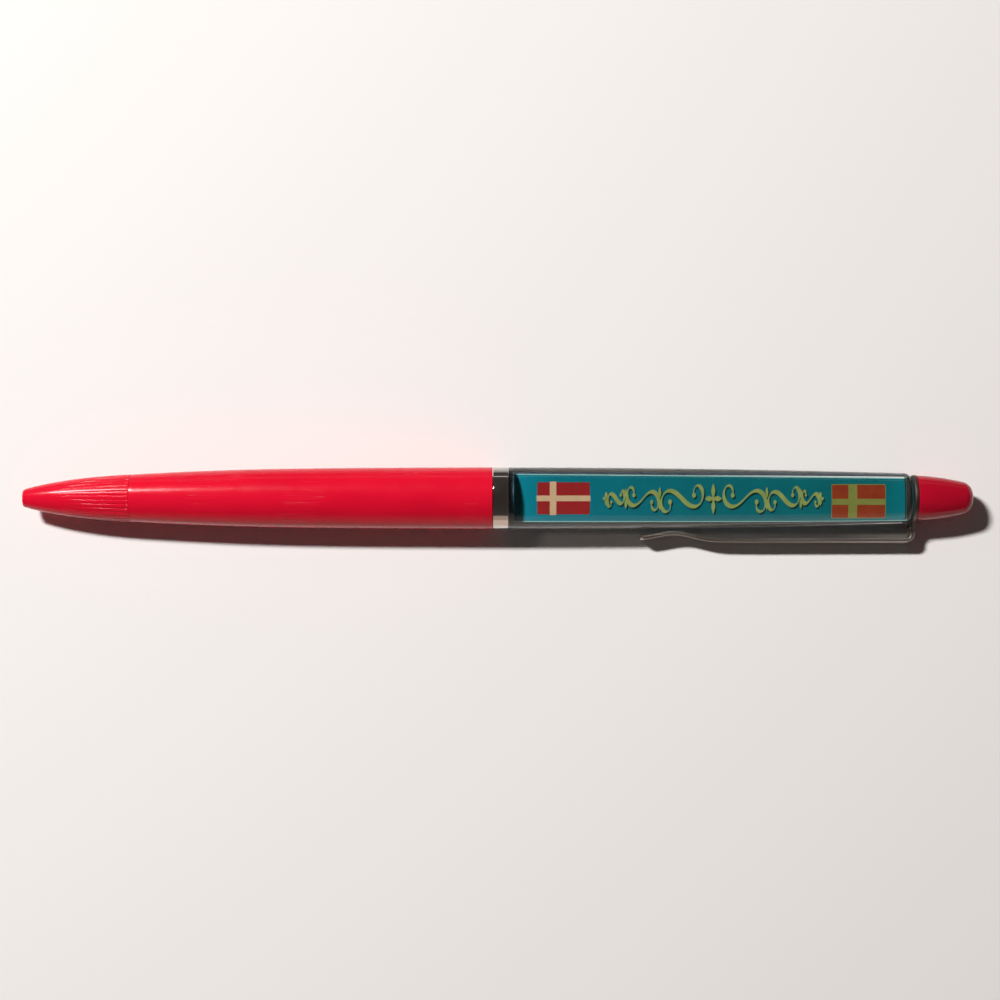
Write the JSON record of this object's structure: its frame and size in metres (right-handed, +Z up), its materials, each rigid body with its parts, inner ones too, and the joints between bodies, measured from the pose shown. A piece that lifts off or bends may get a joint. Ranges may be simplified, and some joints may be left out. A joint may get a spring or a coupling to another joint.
{
  "type": "floaty pen",
  "caption": "Twist-action ballpoint with a red barrel, ribbed nose, chrome ring, and a clear oil-filled upper half holding printed films and a drifting float, with a steel pocket clip.",
  "frame": {"origin": "under the middle of the pen's box, on the surface that the pen lies on", "axes": "+X along the pen from the nose to the cap, +Z up from the surface, the clip towards -Y"},
  "size_m": [0.146, 0.0118, 0.0095],
  "materials": {
    "red_plastic": "moulded, satin gloss",
    "natural_plastic": "moulded, plain",
    "refill_stopper": "moulded, plain",
    "spring_steel": "drawn wire, bright",
    "clip_steel": "nickel-plated strip, bright",
    "chrome": "polished",
    "brass": "turned",
    "carbide": "ground ball",
    "rubber": "matt",
    "clear_acrylic": "clear, polished",
    "clear_film": "clear film",
    "white_core": "plain sheet",
    "title_print": "printed film",
    "scene_print": "printed film",
    "float_print": "printed film"
  },
  "bodies": {
    "barrel": {"barrel": "red_plastic", "nose_cone": "red_plastic", "guide_sleeve": "natural_plastic", "refill_spring": "spring_steel"},
    "upper": {"centre_ring": "chrome", "viewing_tube": "clear_acrylic", "tube_plug": "clear_acrylic", "plug_seal": "rubber", "panel_stop": "clear_acrylic", "panel_backing": "white_core", "title_panel": "title_print", "scene_panel": "scene_print", "foreground_film": "clear_film", "pocket_clip": "clip_steel", "end_cap": "red_plastic", "cam_sleeve": "natural_plastic", "retaining_ring": "spring_steel"},
    "refill": {"refill_tube": "natural_plastic", "refill_tip": "brass", "tip_ball": "carbide", "refill_plug": "refill_stopper", "push_rod": "natural_plastic"},
    "float": {"float_boat": "float_print"}
  },
  "joints": [
    {"name": "upper_twist", "type": "hinge", "parent": "barrel", "child": "upper", "pos_m": [0, 0.00114, 0.00477], "axis": [-1, 0, 0], "range_deg": [0, 180]},
    {"name": "refill_slide", "type": "slide", "parent": "barrel", "child": "refill", "axis": [-1, 0, 0], "range_m": [0, 0.0048], "deforming": ["refill_spring"]},
    {"name": "float_drift", "type": "slide", "parent": "upper", "child": "float", "axis": [1, 0, 0], "range_m": [-0.0205, 0.0255]}
  ],
  "couplings": [
    {"joint": "refill_slide", "follows": "upper_twist", "m_per_rad": 0.0015278}
  ]
}
